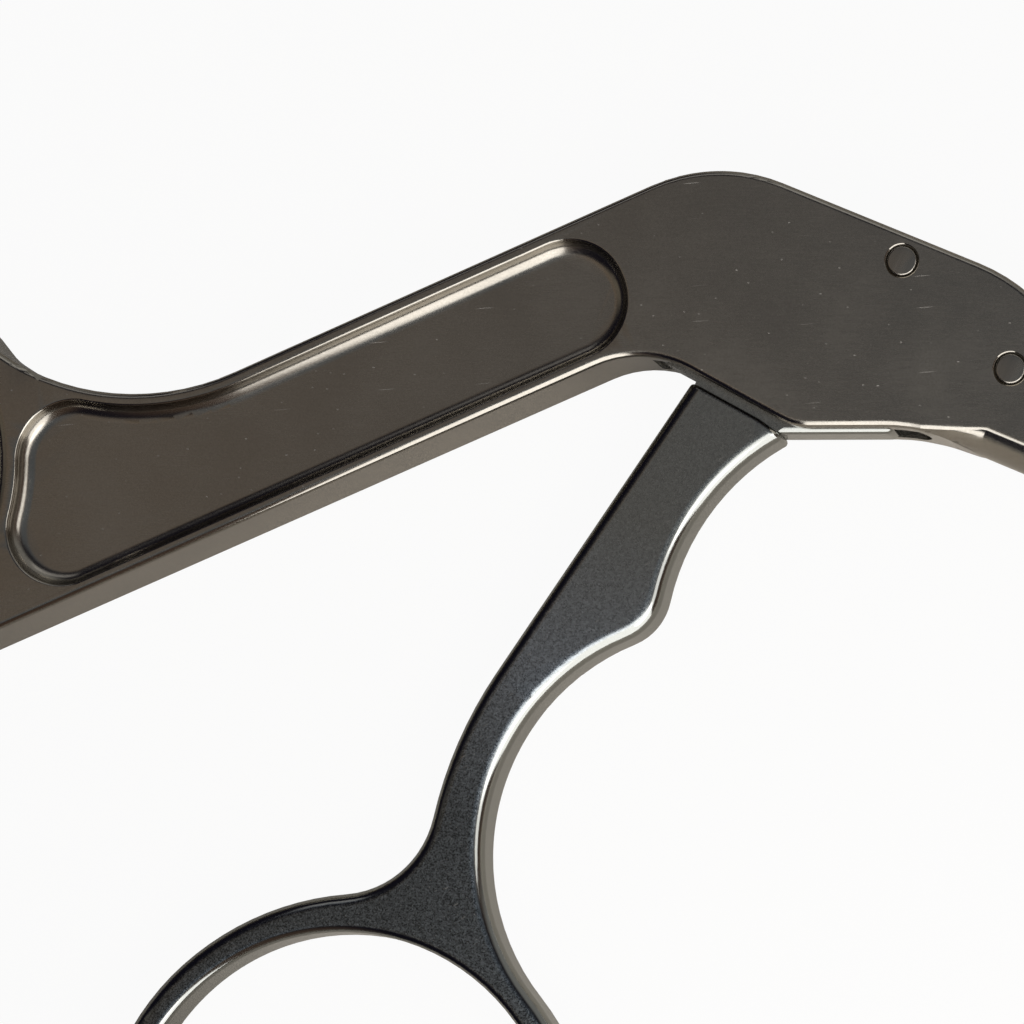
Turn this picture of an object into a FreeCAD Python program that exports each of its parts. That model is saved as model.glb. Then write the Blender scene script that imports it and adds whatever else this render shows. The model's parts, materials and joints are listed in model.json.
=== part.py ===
import FreeCAD, Part
import math
import os

# Hook scissors for keyhole surgery, in millimetres.
# X runs along the shaft towards the blades, Y is up in the plane of the handles,
# Z is square to that plane. The origin is on the shaft axis, at the front face of
# the shaft collar. The lever stands closed; it opens about +Z, towards the blades.

# Plate of the fixed handle
PLATE_THICK = 6.35
HANDLE_ANGLE = 46.35
HANDLE_WIDTH = 9.95
EDGE_RADIUS = 0.45

# Head of the fixed handle
HEAD_TOP_Y = 7.7
HEAD_BACK_X = -36.1
HEAD_BACK_RADIUS = 11.5
HEEL_X = -23.6
HEEL_Y = -7.2
HEEL_RADIUS = 4.0
UNDERSIDE_REAR_ANGLE = -5.7
UNDERSIDE_FRONT_ANGLE = 22.75
ARMPIT_RADIUS = 7.3
THROAT_RADIUS = 12.0

# Nose of the head, a barrel round the shaft
BARREL_RADIUS = 3.93
BARREL_START_X = -11.5
BLEND_START_X = -18.0
NOSE_FRONT_X = -3.5
NOSE_TOP_BEND_X = -13.9
NOSE_TOP_ANGLE = 24.0
NOSE_TOP_RADIUS = 12.5
NOSE_FOOT_RADIUS = 5.0
NOSE_SIDE_MARGIN = 0.12
NOSE_CROWN = 0.4
NOSE_LOW_MARGIN = 0.05

# Thumb ring of the fixed handle
THUMB_REACH = 66.56
THUMB_RISE = 5.74
THUMB_BORE_RADIUS = 13.0
THUMB_WALL = 2.0
THUMB_EDGE_RADIUS = 0.95
THUMB_BLEND_RADIUS = 20.0
SADDLE_RADIUS = 18.0
SADDLE_RISE = 12.3
SADDLE_END_RADIUS = 4.0

# Recess in each side of the fixed handle
RECESS_DEPTH = 1.2
RECESS_FLOOR_RADIUS = 1.1
RECESS_TOP_LAND = 0.9
RECESS_LOW_LAND = 0.8
RECESS_RING_LAND = 0.55
RECESS_FRONT = 28.4
RECESS_FRONT_ROUNDING = 0.98
RECESS_CORNER_RADIUS = 4.0
RECESS_RIM_RADIUS = 0.2

# Lever with the finger ring
LEVER_THICK = 4.1
LEVER_EDGE_RADIUS = 0.95
FINGER_X = -32.3
FINGER_Y = -64.3
FINGER_BORE_RADIUS = 15.05
FINGER_WALL = 2.05
FINGER_EDGE_RADIUS = 0.6
CREST_RADIUS = 19.5
CREST_ANGLE = 155.0
LEVER_BACK_X = -31.7
LEVER_BACK_Y = -7.15
LEVER_BACK_ANGLE = 79.55
LEVER_BACK_LENGTH = 23.6
WAIST_RADIUS = 28.0
RING_ROOT_RADIUS = 6.6
PALM_X = -12.05
PALM_Y = -17.95
PALM_RADIUS = 15.73
REST_X = -17.75
REST_RADIUS = 15.2
NUB_RADIUS = 4.0
SHOULDER_GAP = 0.6
SHOULDER_EDGE_RADIUS = 0.3
SHOULDER_BEND_SETBACK = 2.6
SHOULDER_BEND_ANGLE = 8.0
SHOULDER_BEND_RADIUS = 4.0

# Tongue of the lever, inside the slot of the head
SLOT_WIDTH = 3.46
SIDE_CLEARANCE = 0.05
TONGUE_PROUD = 0.25
TONGUE_TIP_X = -17.6
TONGUE_HEEL_X = -34.6
TONGUE_HEEL_DROP = 0.3
TONGUE_HEEL_HEIGHT = 3.4
TONGUE_BOSS_RADIUS = 1.72
TONGUE_ROOT_DEPTH = 4.0
TONGUE_ROOT_INSET = 1.0
TONGUE_ROOT_BACK_INSET = 1.33
TONGUE_HEEL_INSET = 0.25
TONGUE_UNDER_SETBACK = 1.6
TONGUE_BACK_RADIUS = 1.6
TONGUE_HEEL_RADIUS = 0.4
TONGUE_TIP_RADIUS = 0.5
TONGUE_EDGE_RADIUS = 0.5
SWING_DEG = 8.6
SLOT_CLEARANCE = 0.15
SLOT_FRONT_CLEARANCE = 0.45
SLOT_END_RADIUS = 2.8
SLOT_END_BULGE = 0.57

# Pins through the head
PIN_DIAMETER = 2.0
PIN_SINK = 0.19
PIN_EDGE_RADIUS = 0.13
PIVOT_X = -21.4
PIVOT_Y = 5.85
LOCK_PIN_X = -11.7
LOCK_PIN_Y = 1.93
RUNNING_CLEARANCE = 0.02

# Drive between lever and rod
DRIVE_PIN_DIAMETER = 1.6
DRIVE_PIN_CLEARANCE = 0.03
BLOCK_THICK = 1.9
BLOCK_HEIGHT = 3.2
BLOCK_BACK = 1.7
BLOCK_FRONT = 3.4
BLOCK_SIDE_CLEARANCE = 0.05
BLOCK_CORNER_RADIUS = 0.6
BLOCK_SLOT_DROP = 0.12
GROOVE_HIGH_CLEARANCE = 0.75
GROOVE_BACK_CLEARANCE = 0.6
ROD_HOLE_CLEARANCE = 0.2
BLOCK_PIN_DIAMETER = 0.6
ROD_SEAT_DEPTH = 2.2

# Shaft
TUBE_DIAMETER = 3.4
TUBE_SEAT_DIAMETER = 3.0
TUBE_BORE = 2.3
TUBE_BACK_X = -14.2
TUBE_LENGTH = 130.2
ROD_DIAMETER = 1.3
ROD_CLEARANCE = 0.04
BUSH_LENGTH = 4.0
BUSH_SETBACK = 3.0
COLLAR_BACK_DIAMETER = 6.3
COLLAR_FRONT_DIAMETER = 5.0
COLLAR_EDGE_RADIUS = 0.5

# Jaw fork, blades and their drive
JAW_SHANK = 3.0
FORK_SLOT = 1.2
FORK_SLOT_START = 1.2
BLADE_PIVOT_AHEAD = 6.5
BLADE_PIVOT_DIAMETER = 1.1
BLADE_PIN_DIAMETER = 0.8
BLADE_SWING_DEG = 35.0
BLADE_SIDE_CLEARANCE = 0.03
BLADE_LENGTH = 12.0
HOOK_RADIUS = 1.5
JAW_DIAMETER = 3.0
FORK_AHEAD = 1.6
SPINE_INSET = 0.1
HOOK_DEPTH = 1.0
FIXED_EDGE_Y = -0.25
MOVING_EDGE_Y = 0.1
TIP_SETBACK = 0.35
TIP_INNER_SETBACK = 1.9
EDGE_HOLLOW = 0.35
MOVING_BLADE_START = 1.8
BLADE_BOSS_RADIUS = 0.85
TANG_HALF_WIDTH = 0.78
BLADE_SLOT_PLAY = 0.04
ROD_TIP_HALF_HEIGHT = 0.95
ROD_TIP_STEP = 1.4
ROD_TIP_NOSE_RADIUS = 0.6
ROD_TIP_GAP = 0.15
ROD_FRONT_GAP = 0.1
ROD_SPIGOT_DIAMETER = 0.7
ROD_SPIGOT_LENGTH = 2.4
TIP_PIN_DIAMETER = 0.3
JAW_PIN_DIAMETER = 0.6

HALF_PLATE = PLATE_THICK / 2
HALF_LEVER = LEVER_THICK / 2
HALF_SLOT = SLOT_WIDTH / 2
HALF_TONGUE = HALF_SLOT - SIDE_CLEARANCE
PIN_RADIUS = PIN_DIAMETER / 2
Z_AXIS = FreeCAD.Vector(0, 0, 1)
X_AXIS = FreeCAD.Vector(1, 0, 0)
SWING = math.radians(SWING_DEG)
BLADE_SWING = math.radians(BLADE_SWING_DEG)
FAR = 40.0


def vec(x, y, z=0.0):
    return FreeCAD.Vector(x, y, z)


def along(angle_deg):
    """Unit vector at an angle in the handle plane."""
    a = math.radians(angle_deg)
    return vec(math.cos(a), math.sin(a))


def left_of(direction):
    return vec(-direction.y, direction.x)


def crossing(p, u, q, v):
    """Point where the line through p along u meets the line through q along v."""
    det = u.x * v.y - u.y * v.x
    t = ((q.x - p.x) * v.y - (q.y - p.y) * v.x) / det
    return p + u * t


def between_circles(c1, r1, c2, r2, side):
    """Centre at distance r1 from c1 and r2 from c2, on the left (+1) or right (-1) of c1 to c2."""
    gap = c2 - c1
    d = gap.Length
    u = gap * (1 / d)
    a = (d * d + r1 * r1 - r2 * r2) / (2 * d)
    h = math.sqrt(r1 * r1 - a * a)
    return c1 + u * a + left_of(u) * (h * side)


def beside_line(p, u, offset, centre, distance, side):
    """Centre at an offset to the left of a line and at a distance from another centre."""
    start = p + left_of(u) * offset
    foot = start + u * (centre - start).dot(u)
    h = math.sqrt(distance * distance - (foot - centre).Length ** 2)
    return foot + u * (h * side)


def foot_on_line(p, u, point):
    return p + u * (point - p).dot(u)


def touch(c1, r1, c2):
    """Point on the circle round c1, towards c2."""
    return c1 + (c2 - c1) * (r1 / (c2 - c1).Length)


def arc(centre, start, end, turn):
    """Arc round a centre; turn +1 runs anticlockwise and -1 clockwise."""
    a = math.atan2(start.y - centre.y, start.x - centre.x)
    b = math.atan2(end.y - centre.y, end.x - centre.x)
    sweep = (b - a) * turn % (2 * math.pi)
    middle = a + turn * sweep / 2
    radius = (start - centre).Length
    halfway = centre + vec(math.cos(middle), math.sin(middle)) * radius
    return Part.Arc(start, halfway, end).toShape()


def line(a, b):
    return Part.LineSegment(a, b).toShape()


def corner(before, point, after, radius):
    """Start, centre and end of the arc that rounds a corner."""
    u = (before - point).normalize()
    v = (after - point).normalize()
    half = u.getAngle(v) / 2
    reach = radius / math.tan(half)
    middle = (u + v).normalize()
    centre = point + middle * (radius / math.sin(half))
    return point + u * reach, centre, point + v * reach


def rounded(points, radii):
    """Edges of a closed polygon whose corners are rounded; radius 0 keeps a corner sharp."""
    count = len(points)
    cuts = []
    for i, point in enumerate(points):
        if radii[i] == 0:
            cuts.append((point, None, point))
            continue
        cuts.append(corner(points[i - 1], point, points[(i + 1) % count], radii[i]))
    edges = []
    for i, (start, centre, end) in enumerate(cuts):
        if centre is not None:
            turn = 1 if (start - centre).cross(end - centre).z > 0 else -1
            edges.append(arc(centre, start, end, turn))
        following = cuts[(i + 1) % count][0]
        if (following - end).Length > 1e-6:
            edges.append(line(end, following))
    return edges


def prism(edges, low, high):
    """Solid between two heights over a closed outline in the handle plane."""
    face = Part.Face(Part.Wire(Part.__sortEdges__(edges)))
    face.translate(vec(0, 0, low))
    return face.extrude(vec(0, 0, high - low))


def polygon_prism(points, low, high):
    return prism(rounded(points, [0] * len(points)), low, high)


def disc(x, y, radius, low, high):
    return Part.makeCylinder(radius, high - low, vec(x, y, low), Z_AXIS)


def rod(radius, start_x, end_x):
    return Part.makeCylinder(radius, end_x - start_x, vec(start_x, 0, 0), X_AXIS)


def box(x0, x1, y0, y1, z0, z1):
    return Part.makeBox(x1 - x0, y1 - y0, z1 - z0, vec(x0, y0, z0))


def rim_edges(shape, height):
    """Edges that lie flat at the given height above or below the middle plane."""
    found = []
    for edge in shape.Edges:
        span = edge.BoundBox
        if abs(span.ZMin - span.ZMax) < 1e-5 and abs(abs(span.ZMin) - height) < 1e-5:
            found.append(edge)
    return found


def lies_on(edge, shape):
    """True where the middle of an edge lies on the surface of a shape."""
    middle = edge.valueAt((edge.FirstParameter + edge.LastParameter) / 2)
    return shape.distToShape(Part.Vertex(middle))[0] < 1e-4 and not shape.isInside(middle, 1e-4, False)


def save(name, shape):
    shape.exportStep("parts/" + name + ".step")


# Lines and centres of the fixed handle
HANDLE_DIR = along(HANDLE_ANGLE)
HANDLE_UP = left_of(HANDLE_DIR)
HANDLE_TOP = vec(HEAD_BACK_X, HEAD_TOP_Y)
HANDLE_LOW = HANDLE_TOP - HANDLE_UP * HANDLE_WIDTH
THUMB = HANDLE_TOP - HANDLE_DIR * THUMB_REACH + HANDLE_UP * THUMB_RISE
THUMB_OUTER = THUMB_BORE_RADIUS + THUMB_WALL
SADDLE = crossing(HANDLE_TOP + HANDLE_UP * SADDLE_RADIUS, HANDLE_DIR,
                  vec(0, THUMB.y + SADDLE_RISE + SADDLE_RADIUS), vec(1, 0))
SADDLE_END = between_circles(SADDLE, SADDLE_RADIUS - SADDLE_END_RADIUS,
                             THUMB, THUMB_OUTER + SADDLE_END_RADIUS, 1)
HEEL = vec(HEEL_X, HEEL_Y)
REAR_DIR = along(UNDERSIDE_REAR_ANGLE)
FRONT_DIR = along(UNDERSIDE_FRONT_ANGLE)
ARMPIT = crossing(HANDLE_LOW, HANDLE_DIR, HEEL, REAR_DIR)
THROAT = crossing(HEEL, FRONT_DIR, vec(0, -BARREL_RADIUS), X_AXIS)
PIVOT = vec(PIVOT_X, PIVOT_Y)


def handle_outline():
    """Outer outline of the fixed handle, from the nose round the thumb ring and back."""
    nose_top = vec(NOSE_TOP_BEND_X, HEAD_TOP_Y)
    nose_foot = crossing(nose_top, along(-NOSE_TOP_ANGLE), vec(0, BARREL_RADIUS), X_AXIS)
    nose_high = vec(NOSE_FRONT_X, BARREL_RADIUS)
    nose_low = vec(NOSE_FRONT_X, -BARREL_RADIUS)
    edges = []

    foot_in, foot_mid, foot_out = corner(nose_high, nose_foot, nose_top, NOSE_FOOT_RADIUS)
    bend_in, bend_mid, bend_out = corner(nose_foot, nose_top, HANDLE_TOP, NOSE_TOP_RADIUS)
    saddle_high = foot_on_line(HANDLE_TOP, HANDLE_DIR, SADDLE)
    back_in, back_mid, back_out = corner(nose_top, HANDLE_TOP, saddle_high, HEAD_BACK_RADIUS)
    edges += [line(nose_high, foot_in), arc(foot_mid, foot_in, foot_out, -1)]
    edges += [line(foot_out, bend_in), arc(bend_mid, bend_in, bend_out, 1)]
    edges += [line(bend_out, back_in), arc(back_mid, back_in, back_out, 1)]

    saddle_low = touch(SADDLE, SADDLE_RADIUS, SADDLE_END)
    ring_high = touch(THUMB, THUMB_OUTER, SADDLE_END)
    blend = beside_line(HANDLE_LOW, HANDLE_DIR, THUMB_BLEND_RADIUS, THUMB,
                        THUMB_BLEND_RADIUS - THUMB_OUTER, 1)
    blend_in = blend + (THUMB - blend) * (THUMB_BLEND_RADIUS / (THUMB - blend).Length)
    blend_out = foot_on_line(HANDLE_LOW, HANDLE_DIR, blend)
    edges += [line(back_out, saddle_high), arc(SADDLE, saddle_high, saddle_low, -1)]
    edges += [arc(SADDLE_END, saddle_low, ring_high, -1)]
    edges += [arc(THUMB, ring_high, blend_in, 1), arc(blend, blend_in, blend_out, 1)]

    pit_in, pit_mid, pit_out = corner(blend_out, ARMPIT, HEEL, ARMPIT_RADIUS)
    heel_in, heel_mid, heel_out = corner(ARMPIT, HEEL, THROAT, HEEL_RADIUS)
    throat_in, throat_mid, throat_out = corner(HEEL, THROAT, nose_low, THROAT_RADIUS)
    edges += [line(blend_out, pit_in), arc(pit_mid, pit_in, pit_out, -1)]
    edges += [line(pit_out, heel_in), arc(heel_mid, heel_in, heel_out, 1)]
    edges += [line(heel_out, throat_in), arc(throat_mid, throat_in, throat_out, -1)]
    edges += [line(throat_out, nose_low), line(nose_low, nose_high)]
    return edges


def recess_outline():
    """Rim of the long recess in the side of the handle."""
    high = HANDLE_TOP - HANDLE_UP * RECESS_TOP_LAND
    low = HANDLE_LOW + HANDLE_UP * RECESS_LOW_LAND
    low_front = foot_on_line(low, HANDLE_DIR, vec(0, 0)) - HANDLE_DIR * RECESS_FRONT
    high_front = foot_on_line(high, HANDLE_DIR, low_front)
    end_radius = (high_front - low_front).Length / 2 * RECESS_FRONT_ROUNDING
    follow = SADDLE_RADIUS + RECESS_TOP_LAND
    ring = THUMB_BORE_RADIUS + THUMB_EDGE_RADIUS + RECESS_RING_LAND
    corner_r = RECESS_CORNER_RADIUS

    saddle_high = foot_on_line(high, HANDLE_DIR, SADDLE)
    high_left = between_circles(THUMB, ring + corner_r, SADDLE, follow + corner_r, -1)
    low_left = beside_line(low, HANDLE_DIR, corner_r, THUMB, ring + corner_r, 1)
    saddle_low = touch(SADDLE, follow, high_left)
    ring_high = touch(THUMB, ring, high_left)
    ring_low = touch(THUMB, ring, low_left)
    left_out = foot_on_line(low, HANDLE_DIR, low_left)
    low_in, low_mid, low_out = corner(left_out, low_front, high_front, end_radius)
    high_in, high_mid, high_out = corner(low_front, high_front, saddle_high, end_radius)
    return [line(saddle_high, high_out), arc(high_mid, high_out, high_in, -1),
            line(high_in, low_out), arc(low_mid, low_out, low_in, -1),
            line(low_in, left_out), arc(low_left, left_out, ring_low, -1),
            arc(THUMB, ring_low, ring_high, 1), arc(high_left, ring_high, saddle_low, -1),
            arc(SADDLE, saddle_low, saddle_high, 1)]


def recess_tool():
    """One recess, cut down from above the near face, with a rounded floor."""
    floor = HALF_PLATE - RECESS_DEPTH
    tool = prism(recess_outline(), floor, HALF_PLATE + 1)
    floor_edges = [e for e in tool.Edges
                   if abs(e.BoundBox.ZMin - floor) < 1e-5 and abs(e.BoundBox.ZMax - floor) < 1e-5]
    return tool.makeFillet(RECESS_FLOOR_RADIUS, floor_edges)


def nose_section(x, side_low, bottom, side_high, top):
    """Closed section of the nose envelope, a little wider than the plate."""
    w = HALF_PLATE + NOSE_SIDE_MARGIN
    low = Part.Arc(vec(x, side_low, -w), vec(x, bottom, 0), vec(x, side_low, w)).toShape()
    high = Part.Arc(vec(x, side_high, w), vec(x, top, 0), vec(x, side_high, -w)).toShape()
    return Part.Wire([low, line(vec(x, side_low, w), vec(x, side_high, w)), high,
                      line(vec(x, side_high, -w), vec(x, side_low, -w))])


def nose_envelope():
    """Space that the nose may fill: flat underneath at the back and a barrel in front."""
    w = HALF_PLATE + NOSE_SIDE_MARGIN
    round_side = math.sqrt(BARREL_RADIUS ** 2 - w ** 2)
    back_low = HEEL_Y + (BLEND_START_X - HEEL_X) * math.tan(math.radians(UNDERSIDE_FRONT_ANGLE))
    roof = HEAD_TOP_Y + 1
    crown = roof + NOSE_CROWN
    low_side = back_low - NOSE_LOW_MARGIN
    sections = [nose_section(BLEND_START_X, low_side, back_low - NOSE_CROWN, roof, crown),
                nose_section(BARREL_START_X, -round_side, -BARREL_RADIUS, roof, crown),
                nose_section(NOSE_FRONT_X, -round_side, -BARREL_RADIUS, round_side, BARREL_RADIUS)]
    return Part.makeLoft(sections, True, True)


def tongue_corners(grow=0.0):
    """Corners of the tongue that lie inside the head, grown by a clearance."""
    under = HEEL - left_of(FRONT_DIR) * TONGUE_PROUD
    front_low = crossing(under, FRONT_DIR, vec(TONGUE_TIP_X + grow, 0), vec(0, 1))
    heel_low = crossing(HEEL - left_of(REAR_DIR) * TONGUE_HEEL_DROP, REAR_DIR,
                        vec(TONGUE_HEEL_X - grow, 0), vec(0, 1))
    boss = TONGUE_BOSS_RADIUS + grow
    return {"front_low": front_low,
            "heel_low": heel_low,
            "heel_high": heel_low + vec(0, TONGUE_HEEL_HEIGHT + grow * 2),
            "boss_back": PIVOT + along(135) * boss,
            "boss_front": PIVOT + along(0) * boss}


def turned(point, angle):
    """Point turned about the lever pivot."""
    arm = point - PIVOT
    c = math.cos(angle)
    s = math.sin(angle)
    return PIVOT + vec(arm.x * c - arm.y * s, arm.x * s + arm.y * c)


def head_slot():
    """Slot in the head that the tongue swings in, open below and over the pivot."""
    t = tongue_corners(SLOT_CLEARANCE)
    front_x = turned(t["front_low"], SWING).x
    front_y = BLOCK_HEIGHT / 2 + SLOT_FRONT_CLEARANCE
    window_front = PIVOT_X + TONGUE_BOSS_RADIUS + SLOT_CLEARANCE
    under = HEEL_Y - 3
    over = HEAD_TOP_Y + 2
    points = [vec(t["heel_low"].x, under), t["heel_high"], t["boss_back"],
              vec(t["boss_back"].x, over), vec(window_front, over), vec(window_front, PIVOT_Y),
              vec(front_x, front_y), vec(front_x, under)]
    slot = polygon_prism(points, -HALF_SLOT, HALF_SLOT)
    end_x = front_x + SLOT_END_BULGE - SLOT_END_RADIUS
    end = Part.makeCylinder(SLOT_END_RADIUS, front_y - under, vec(end_x, under, 0), vec(0, 1, 0))
    return slot.fuse(end.common(box(end_x, FAR, under, front_y, -HALF_SLOT, HALF_SLOT)))


def pin_hole(x, y):
    """Hole for a cross pin of the head, countersunk on both sides."""
    hole = disc(x, y, PIN_RADIUS, -FAR, FAR)
    wide = PIN_RADIUS + PIN_SINK
    for side in (-1, 1):
        place = vec(x, y, side * HALF_PLATE)
        hole = hole.fuse(Part.makeCone(wide, PIN_RADIUS, PIN_SINK, place, Z_AXIS * -side))
    return hole


def fixed_handle():
    """Thumb ring, handle and slotted head in one plate."""
    plate = prism(handle_outline(), -HALF_PLATE, HALF_PLATE)
    back = plate.common(box(THUMB.x - FAR, BLEND_START_X, THUMB.y - FAR, FAR, -FAR, FAR))
    nose = plate.common(nose_envelope())
    plate = back.fuse(nose).removeSplitter()
    outer_rims = [e for e in rim_edges(plate, HALF_PLATE) if e.BoundBox.XMin < NOSE_FRONT_X - 1e-4]
    plate = plate.makeFillet(EDGE_RADIUS, outer_rims)
    plate = plate.cut(disc(THUMB.x, THUMB.y, THUMB_BORE_RADIUS, -FAR, FAR))
    bore_rims = [e for e in rim_edges(plate, HALF_PLATE)
                 if hasattr(e.Curve, "Radius") and abs(e.Curve.Radius - THUMB_BORE_RADIUS) < 1e-4
                 and (e.Curve.Center - vec(THUMB.x, THUMB.y, e.Curve.Center.z)).Length < 1e-3]
    plate = plate.makeFillet(THUMB_EDGE_RADIUS, bore_rims)

    near = recess_tool()
    far = near.mirror(vec(0, 0, 0), Z_AXIS)
    plate = plate.cut(near).cut(far)
    recess_rims = [e for e in rim_edges(plate, HALF_PLATE) if lies_on(e, near) or lies_on(e, far)]
    plate = plate.makeFillet(RECESS_RIM_RADIUS, recess_rims)

    plate = plate.cut(head_slot())
    plate = plate.cut(rod(TUBE_SEAT_DIAMETER / 2, TUBE_BACK_X, NOSE_FRONT_X + 1))
    plate = plate.cut(rod(ROD_DIAMETER / 2 + ROD_HOLE_CLEARANCE, PIVOT_X, TUBE_BACK_X + 1))
    return plate.cut(pin_hole(PIVOT_X, PIVOT_Y)).cut(pin_hole(LOCK_PIN_X, LOCK_PIN_Y))


# Centres of the lever's outline
FINGER = vec(FINGER_X, FINGER_Y)
FINGER_OUTER = FINGER_BORE_RADIUS + FINGER_WALL
BACK = vec(LEVER_BACK_X, LEVER_BACK_Y)
BACK_DIR = along(LEVER_BACK_ANGLE)
BACK_END = BACK - BACK_DIR * LEVER_BACK_LENGTH
WAIST = BACK_END - left_of(BACK_DIR) * WAIST_RADIUS
CREST = FINGER - along(CREST_ANGLE) * (CREST_RADIUS - FINGER_OUTER)
ROOT = between_circles(WAIST, WAIST_RADIUS + RING_ROOT_RADIUS,
                       CREST, CREST_RADIUS + RING_ROOT_RADIUS, -1)
PALM = vec(PALM_X, PALM_Y)
REST = vec(REST_X, FINGER_Y + math.sqrt((FINGER_OUTER + REST_RADIUS) ** 2
                                       - (REST_X - FINGER_X) ** 2))
NUB = between_circles(PALM, PALM_RADIUS + NUB_RADIUS, REST, REST_RADIUS + NUB_RADIUS, -1)


def lever_outline():
    """Outline of the lever and its ring, carried on up past the shoulder."""
    top_y = HEEL_Y + 3
    top_back = crossing(BACK, BACK_DIR, vec(0, top_y), X_AXIS)
    rise = top_y - PALM_Y
    top_front = vec(PALM_X - math.sqrt(PALM_RADIUS ** 2 - rise ** 2), top_y)
    waist_low = touch(WAIST, WAIST_RADIUS, ROOT)
    root_low = touch(CREST, CREST_RADIUS, ROOT)
    crest_low = CREST + along(CREST_ANGLE) * CREST_RADIUS
    rest_low = touch(FINGER, FINGER_OUTER, REST)
    nub_low = touch(NUB, NUB_RADIUS, REST)
    nub_high = touch(NUB, NUB_RADIUS, PALM)
    return [line(top_back, BACK_END), arc(WAIST, BACK_END, waist_low, 1),
            arc(ROOT, waist_low, root_low, -1), arc(CREST, root_low, crest_low, 1),
            arc(FINGER, crest_low, rest_low, 1),
            arc(REST, rest_low, nub_low, -1), arc(NUB, nub_low, nub_high, 1),
            arc(PALM, nub_high, top_front, -1), line(top_front, top_back)]


def above_shoulder():
    """Space above the lever's shoulder, which follows the underside of the head."""
    gap = SHOULDER_GAP
    heel = HEEL - left_of(REAR_DIR) * gap
    far_back = heel - REAR_DIR * FAR
    far_front = heel + along(UNDERSIDE_REAR_ANGLE - SHOULDER_BEND_ANGLE) * FAR
    bend = heel - REAR_DIR * SHOULDER_BEND_SETBACK
    points = [far_back, bend, far_front, vec(FAR, FAR), vec(-FAR * 2, FAR)]
    return prism(rounded(points, [0, SHOULDER_BEND_RADIUS, 0, 0, 0]), -FAR, FAR)


def tongue():
    """Thin part of the lever that hangs on the pivot pin inside the head."""
    t = tongue_corners()
    root_y = BACK.y - TONGUE_ROOT_DEPTH
    root_back = crossing(BACK, BACK_DIR, vec(0, root_y), X_AXIS) + vec(TONGUE_ROOT_BACK_INSET, 0)
    palm_x = PALM_X - math.sqrt(PALM_RADIUS ** 2 - (root_y - PALM_Y) ** 2)
    root_front = vec(palm_x - TONGUE_ROOT_INSET, root_y)
    under_back = HEEL - left_of(FRONT_DIR) * TONGUE_PROUD - FRONT_DIR * TONGUE_UNDER_SETBACK
    heel_root = crossing(t["heel_low"], REAR_DIR, BACK, BACK_DIR) + vec(TONGUE_HEEL_INSET, 0)
    points = [t["boss_front"], t["boss_back"], t["heel_high"], t["heel_low"], heel_root,
              root_back, root_front, under_back, t["front_low"]]
    radii = [0, 0, TONGUE_BACK_RADIUS, TONGUE_HEEL_RADIUS, 0, 0, 0, 0, TONGUE_TIP_RADIUS]
    plate = prism(rounded(points, radii), -HALF_TONGUE, HALF_TONGUE)
    low = foot_on_line(under_back, FRONT_DIR, t["front_low"])
    low_rims = [e for e in rim_edges(plate, HALF_TONGUE)
                if abs((e.CenterOfMass - low).dot(left_of(FRONT_DIR))) < 0.01]
    plate = plate.makeFillet(TONGUE_EDGE_RADIUS, low_rims)
    return plate.fuse(disc(PIVOT_X, PIVOT_Y, TONGUE_BOSS_RADIUS, -HALF_TONGUE, HALF_TONGUE))


# Place of the drive pin: it swings evenly to both sides of the line square to the shaft
DRIVE_ARM = PIVOT_Y / math.cos(SWING / 2)
DRIVE_PIN_X = PIVOT_X - DRIVE_ARM * math.sin(SWING / 2)
ROD_TRAVEL = 2 * DRIVE_ARM * math.sin(SWING / 2)
BLOCK_BACK_X = DRIVE_PIN_X - BLOCK_BACK
BLOCK_FRONT_X = DRIVE_PIN_X + BLOCK_FRONT


def finger_lever():
    """Finger ring, arm and tongue of the moving handle."""
    arm = prism(lever_outline(), -HALF_LEVER, HALF_LEVER)
    arm = arm.makeFillet(LEVER_EDGE_RADIUS, rim_edges(arm, HALF_LEVER))
    arm = arm.cut(disc(FINGER_X, FINGER_Y, FINGER_BORE_RADIUS, -FAR, FAR))
    bore_rims = [e for e in rim_edges(arm, HALF_LEVER)
                 if hasattr(e.Curve, "Radius") and abs(e.Curve.Radius - FINGER_BORE_RADIUS) < 1e-4]
    arm = arm.makeFillet(FINGER_EDGE_RADIUS, bore_rims)
    above = above_shoulder()
    arm = arm.cut(above)
    shoulder_rims = [e for e in rim_edges(arm, HALF_LEVER) if lies_on(e, above)]
    arm = arm.makeFillet(SHOULDER_EDGE_RADIUS, shoulder_rims)
    lever = arm.fuse(tongue()).removeSplitter()

    groove_half = BLOCK_THICK / 2 + BLOCK_SIDE_CLEARANCE
    groove_high = BLOCK_HEIGHT / 2 + GROOVE_HIGH_CLEARANCE
    groove_back = BLOCK_BACK_X - GROOVE_BACK_CLEARANCE
    groove = box(groove_back, FAR, -groove_high, groove_high, -groove_half, groove_half)
    lever = lever.cut(groove)
    lever = lever.cut(disc(DRIVE_PIN_X, 0, DRIVE_PIN_DIAMETER / 2, -FAR, FAR))
    return lever.cut(disc(PIVOT_X, PIVOT_Y, PIN_RADIUS + RUNNING_CLEARANCE, -FAR, FAR))


def head_pin(x, y):
    """Pin pressed through both cheeks of the head, flush with its faces, its ends rounded off."""
    pin = disc(x, y, PIN_RADIUS, -HALF_PLATE, HALF_PLATE)
    return pin.makeFillet(PIN_EDGE_RADIUS, rim_edges(pin, HALF_PLATE))


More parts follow.
